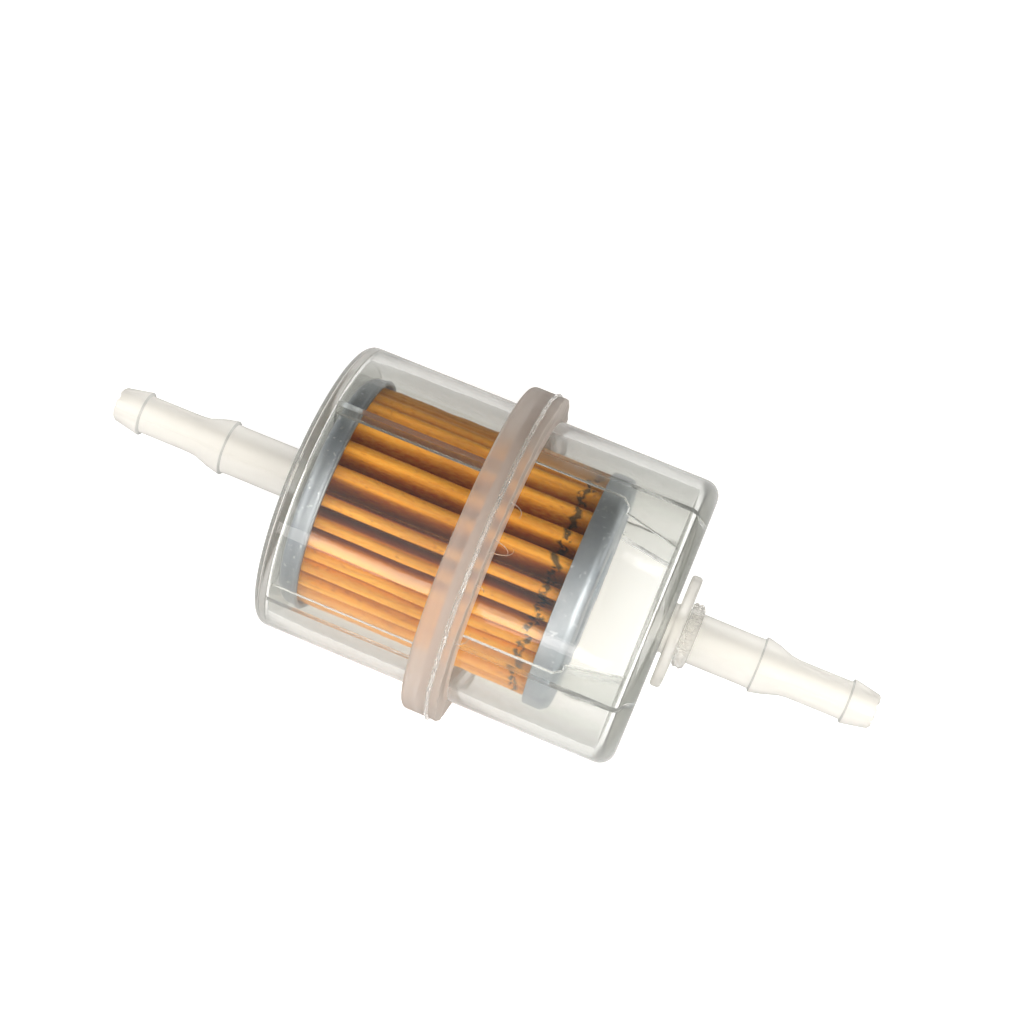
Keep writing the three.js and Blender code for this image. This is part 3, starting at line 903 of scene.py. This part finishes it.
def pressed_cap(name, face, rim, hole, bead):
    """A pressed cap from its face to its rim, with a rolled bead on the rim if asked."""
    inwards = 1 if rim > face else -1
    depth = abs(rim - face)
    inner = CAP_CORNER - CAP_SHEET
    rounding = 0.18
    waist = 0.14 if bead else 0.0  # the wall stands this far inside its rolled bead
    wall = CAP_RADIUS - waist
    centre = wall - CAP_CORNER
    if bead:
        edge = [
            (depth - 0.95, wall),
            *arc(depth - 0.42, CAP_RADIUS - 0.32, 0.42, 130, -90, 9),
            (depth - 0.7, CAP_RADIUS - CAP_SHEET - waist),
        ]
    else:
        edge = [
            *arc(depth - rounding, CAP_RADIUS - rounding, rounding, 90, 0, 3),
            *arc(depth - rounding, CAP_RADIUS - CAP_SHEET + rounding, rounding, 0, -90, 3),
        ]
    outside = [
        (RECESS_DEPTH, hole),
        (RECESS_DEPTH, RECESS_RADIUS - 0.5),
        (RECESS_DEPTH - 0.5, RECESS_RADIUS),
        (0.4, RECESS_RADIUS),
        (0.0, RECESS_RADIUS + 0.4),
        *arc(CAP_CORNER, centre, CAP_CORNER, 180, 90, 8),
    ]
    inside = [
        *arc(CAP_CORNER, centre, inner, 90, 180, 8),
        (CAP_SHEET, RECESS_RADIUS + 0.6),
        (0.7, RECESS_RADIUS + CAP_SHEET),
        (RECESS_DEPTH + CAP_SHEET, RECESS_RADIUS - 0.1),
        (RECESS_DEPTH + CAP_SHEET, hole),
    ]
    profile = [(face + inwards * u, r) for u, r in [*outside, *edge, *inside]]
    wobble = smooth_noise(CAP_SEED, (2, 3, 5), CAP_WOBBLE)

    def warp(x, r, angle):
        return x, r + wobble(angle) * r / CAP_RADIUS

    return turned(name, profile, HOUSING_FACETS, warp)


PLEATS = 32
PLEAT_LEAN = 0.065  # radians that each crest leans ahead of its valleys
BUNCHING = 0.115  # radians that crowded pleats move, most on the side away from the seam
BUNCH_WAVES = 3
BUNCH_CENTRE = math.radians(80.0)
PAPER_THICKNESS = 0.4
VALLEY_RADIUS = 9.8
PAPER_SECTIONS = 30
PAPER_SUNK = 0.2  # how far the paper's ends reach past the CAD paper's, into the potting
VALLEY_HALF = 0.42
CREST_RADIUS = PAPER_RADIUS - PAPER_THICKNESS / 2


def bunched(angle):
    """Moves a pleat's angle, so that pleats stand wider near the top and crowd beside it."""
    reach = (1 + math.sin(angle)) / 2
    return angle + BUNCHING * reach * math.sin(BUNCH_WAVES * (angle - BUNCH_CENTRE))


def pleat_line(jitter, along):
    """The middle line of the folded paper at one place along the filter, as (y, z) pairs."""
    pitch = math.tau / PLEATS
    points = []
    for i, (shift, crest, width, sway) in enumerate(jitter):
        tip = bunched((i + shift) * pitch) + sway(along)
        following = jitter[(i + 1) % PLEATS][0]
        valley = bunched((i + 0.5 + (shift + following) / 2) * pitch) + PLEAT_LEAN
        valley_radius = VALLEY_RADIUS + PAPER_THICKNESS
        half = width / 2
        fold = [
            (crest - 0.95, -half),
            (crest - 0.32, -half * 0.9),
            (crest - 0.06, -half * 0.55),
            (crest, 0.0),
            (crest - 0.06, half * 0.55),
            (crest - 0.32, half * 0.9),
            (crest - 0.95, half),
        ]
        points += [(r, tip + offset / r) for r, offset in fold]
        foot = VALLEY_HALF
        dip = [
            (valley_radius + 0.9, -foot),
            (valley_radius + 0.15, -foot * 0.8),
            (valley_radius, 0.0),
            (valley_radius + 0.15, foot * 0.8),
            (valley_radius + 0.9, foot),
        ]
        points += [(r, valley + offset / r) for r, offset in dip]
    return [Vector((r * math.cos(a), r * math.sin(a))) for r, a in points]


def offset_loops(line):
    """The two faces of the paper round its middle line."""
    outer, inner = [], []
    count = len(line)
    for i, point in enumerate(line):
        along = (line[(i + 1) % count] - line[i - 1]).normalized()
        out = Vector((along.y, -along.x)) * (PAPER_THICKNESS / 2)
        outer.append(point + out)
        inner.append(point - out)
    return outer, inner


def pleated_paper():
    chance = random.Random(7)
    jitter = []
    for _ in range(PLEATS):
        phase = chance.uniform(0, math.tau)
        size = chance.uniform(0.003, 0.011)
        rate = chance.uniform(1.0, 2.4)

        def sway(u, p=phase, s=size, k=rate):
            return s * math.sin(math.pi * u) * math.sin(p + k * math.pi * u)

        jitter.append((
            chance.uniform(-0.10, 0.10),
            CREST_RADIUS - chance.uniform(0.0, 0.5),
            chance.uniform(0.95, 1.65),
            sway,
        ))
    bm = bmesh.new()
    rings = []
    for step in range(PAPER_SECTIONS + 1):
        along = step / PAPER_SECTIONS
        x = PAPER_START - PAPER_SUNK + (PAPER_END - PAPER_START + 2 * PAPER_SUNK) * along
        outer, inner = offset_loops(pleat_line(jitter, along))
        rings.append([[bm.verts.new((x, p.x, p.y)) for p in loop] for loop in (outer, inner)])
    count = len(rings[0][0])
    for here, after in zip(rings, rings[1:]):
        for side in (0, 1):
            for i in range(count):
                k = (i + 1) % count
                bm.faces.new([here[side][i], here[side][k], after[side][k], after[side][i]])
    for end in (rings[0], rings[-1]):
        for i in range(count):
            k = (i + 1) % count
            bm.faces.new([end[0][i], end[0][k], end[1][k], end[1][i]])
    return new_piece("folded_filter_paper", bm, 60.0)


POTTING_INNER = 9.1
POTTING_SWELL = 0.25
POTTING_FACETS = 128


def potting(name, node, face_at_start):
    """Cured compound in a cap, with a slightly lumpy face on the paper's side."""
    start, end, radius = node_box(node)
    low, high = (start, end) if face_at_start else (end, start)
    grow = POTTING_SWELL if face_at_start else -POTTING_SWELL
    profile = [
        (low, POTTING_INNER),
        (low, radius - CAP_CORNER),
        (low + (high - low) * 0.6, radius - 0.1),
        (high, radius),
        (high + grow * 0.6, radius - 1.2),
        (high + grow, (radius + POTTING_INNER) / 2),
        (high + grow * 0.6, 10.0),
        (high, POTTING_INNER),
    ]
    lumps = smooth_noise(41, (5, 11, 18, 32), 0.12)

    def warp(x, r, angle):
        on_paper_side = abs(x - low) > 0.5
        return x + lumps(angle + r) * on_paper_side, r

    return turned(name, profile, POTTING_FACETS, warp)


SEAL_INNER = 4.0
SEAL_EDGE = 0.2
SEAL_FACETS = 96


def seal_ring():
    start, end, outer = node_box("outlet_seal")
    middle = (start + end) / 2
    edge = SEAL_EDGE
    profile = [
        *arc(start + edge, outer - edge, edge, 180, 90, 3),
        *arc(end - edge, outer - edge, edge, 90, 0, 3),
        *arc(end - edge, SEAL_INNER + edge, edge, 0, -90, 3),
        *arc(start + edge, SEAL_INNER + edge, edge, -90, -180, 3),
    ]
    squeeze = smooth_noise(51, (4, 6), 0.03)

    def warp(x, r, angle):
        return x + squeeze(angle) * (x - middle), r

    return turned("rubber_seal_ring", profile, SEAL_FACETS, warp)


CLIP_DEPTH = 3.2
CLIP_STEPS = 24
CRIMP = 0.04  # the share by which the clip is pinched wider and narrower in turn


def seam_clip():
    """The folded strip that closes the paper: two thin leaves pinched at their outer edge."""
    start, end, _ = node_box("paper_seam_clip")
    low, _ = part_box("paper_seam_clip")
    outer = -low[2] / MM
    inner = outer - CLIP_DEPTH
    turn = -math.pi / 2 + math.pi / PLEATS
    section = [
        (inner, -0.2), (outer - 0.4, -0.2), (outer - 0.12, -0.13), (outer, 0.0),
        (outer - 0.12, 0.13), (outer - 0.4, 0.2), (inner, 0.2), (inner, 0.06),
        (outer - 0.5, 0.06), (outer - 0.5, -0.06), (inner, -0.06),
    ]
    bm = bmesh.new()
    loops = []
    for i in range(CLIP_STEPS + 1):
        x = start + (end - start) * i / CLIP_STEPS
        pinch = -CRIMP if i % 2 else CRIMP
        loop = []
        for r, side in section:
            offset = side * (1.0 + pinch)
            y = r * math.cos(turn) - offset * math.sin(turn)
            z = r * math.sin(turn) + offset * math.cos(turn)
            loop.append(bm.verts.new((x, y, z)))
        loops.append(loop)
    count = len(section)
    for here, after in zip(loops, loops[1:]):
        for j in range(count):
            k = (j + 1) % count
            bm.faces.new([here[j], here[k], after[k], after[j]])
    bm.faces.new(loops[0])
    bm.faces.new(loops[-1][::-1])
    return new_piece("crimped_seam_clip", bm)


# ------------------------------------------------------------------ pieces in the frame


def settle(piece, node, material=None):
    if material is not None:
        piece.data.materials.clear()
        piece.data.materials.append(material)
    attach(piece, "root")
    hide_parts(node)


HOUSING_MATERIALS = (CLEAR, COLLAR, MILKY, RIB, SHADE)  # in the order of the zones
shell = outlet_shell()
zone_materials(shell, HOUSING_MATERIALS, outlet_zone)
settle(shell, "outlet_shell")
shell = inlet_shell()
zone_materials(shell, HOUSING_MATERIALS, inlet_zone)
settle(shell, "inlet_shell")
nipple = inlet_nipple()
zone_materials(nipple, HOUSING_MATERIALS, nipple_zone)
settle(nipple, "inlet_nipple")
settle(collar_bead(), "collar_weld_bead", FLASH)
settle(nipple_bead(), "nipple_weld_bead", FLASH)
settle(pressed_cap("pressed_outlet_cap", OUTLET_CAP_FACE, OUTLET_CAP_RIM, 4.0, True),
       "outlet_end_cap", STEEL)
settle(pressed_cap("pressed_closed_cap", CLOSED_CAP_FACE, CLOSED_CAP_RIM, 0, False),
       "closed_end_cap", STEEL)
settle(pleated_paper(), "pleated_paper", PAPER)
settle(potting("cured_outlet_potting", "outlet_cap_potting", True),
       "outlet_cap_potting", POTTING)
settle(potting("cured_closed_potting", "closed_cap_potting", False),
       "closed_cap_potting", POTTING)
settle(seal_ring(), "outlet_seal", RUBBER)
settle(seam_clip(), "paper_seam_clip", STEEL)
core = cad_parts["perforated_core"]
core.data.materials.clear()
core.data.materials.append(STEEL)

# ------------------------------------------------------------------ floor and light


FLOOR_HALF = 1.5  # metres, like every size of the floor and the lights
FLOOR_GAP = 0.0004
FLOOR_GLOW = 0.42
FLOOR_TONES = (0.93, 0.95)
DOME_BRIGHT = Vector((-0.12, -0.95, 0.28)).normalized()
DOME_SPREAD = (-0.12, 1.0)  # dot products with DOME_BRIGHT where the levels start and end
DOME_LEVELS = (0.15, 1.12)
DOME_COLOUR = (1.0, 0.985, 0.965)
KEY_DIRECTION = Vector((-0.14, -0.80, 0.58)).normalized()
KEY_DISTANCE = 0.6
# each softbox's (name, place, size, power in watts, colour)
SOFTBOXES = (
    ("key", KEY_DIRECTION * KEY_DISTANCE, (0.26, 0.09), 0.25, (1.0, 0.95, 0.93)),
    ("left_fill", (-0.66, -0.26, 0.36), (0.70, 0.70), 3.5, (1.0, 0.985, 0.96)),
    ("right_fill", (0.50, -0.20, 0.42), (0.50, 0.50), 3.4, (1.0, 0.99, 0.97)),
)


def add_floor():
    bm = bmesh.new()
    bmesh.ops.create_grid(bm, x_segments=2, y_segments=2, size=FLOOR_HALF)
    mesh = bpy.data.meshes.new("floor")
    bm.to_mesh(mesh)
    bm.free()
    floor = bpy.data.objects.new("floor", mesh)
    floor.location.z = CAD_BOX[0][2] - FLOOR_GAP
    bpy.context.collection.objects.link(floor)
    s = Shader("floor_white")
    body = s.add("ShaderNodeBsdfPrincipled")
    tones = [rgba(tone, tone, tone) for tone in FLOOR_TONES]
    s.feed(body.inputs["Base Color"], s.blend(s.noise(3.0, 2.0), *tones))
    body.inputs["Roughness"].default_value = 0.9
    body.inputs["Specular IOR Level"].default_value = 0.1
    body.inputs["Emission Color"].default_value = rgba(1.0, 1.0, 1.0)
    body.inputs["Emission Strength"].default_value = FLOOR_GLOW
    mesh.materials.append(s.finish(body.outputs[0]))


def add_softbox(name, place, size, power, colour):
    data = bpy.data.lights.new(name, "AREA")
    data.shape = "RECTANGLE"
    data.size, data.size_y = size
    data.energy = power
    data.color = colour
    lamp = bpy.data.objects.new(name, data)
    lamp.location = place
    lamp.rotation_euler = Vector(place).to_track_quat("Z", "Y").to_euler()
    bpy.context.collection.objects.link(lamp)


def add_sky():
    """A studio dome: bright towards the key light, and falling away behind the filter."""
    world = bpy.data.worlds.new("studio")
    world.use_nodes = True
    tree = world.node_tree
    nodes = tree.nodes
    direction = nodes.new("ShaderNodeTexCoord").outputs["Generated"]
    dot = nodes.new("ShaderNodeVectorMath")
    dot.operation = "DOT_PRODUCT"
    tree.links.new(direction, dot.inputs[0])
    dot.inputs[1].default_value = DOME_BRIGHT
    ramp = nodes.new("ShaderNodeMapRange")
    ramp.interpolation_type = "SMOOTHSTEP"
    tree.links.new(dot.outputs["Value"], ramp.inputs["Value"])
    for end, dot_value, level in zip(("Min", "Max"), DOME_SPREAD, DOME_LEVELS):
        ramp.inputs["From " + end].default_value = dot_value
        ramp.inputs["To " + end].default_value = level
    background = nodes["Background"]
    background.inputs["Color"].default_value = rgba(*DOME_COLOUR)
    tree.links.new(ramp.outputs["Result"], background.inputs["Strength"])
    bpy.context.scene.world = world


add_floor()
add_sky()
for softbox in SOFTBOXES:
    add_softbox(*softbox)
bpy.context.scene.view_settings.view_transform = "Standard"
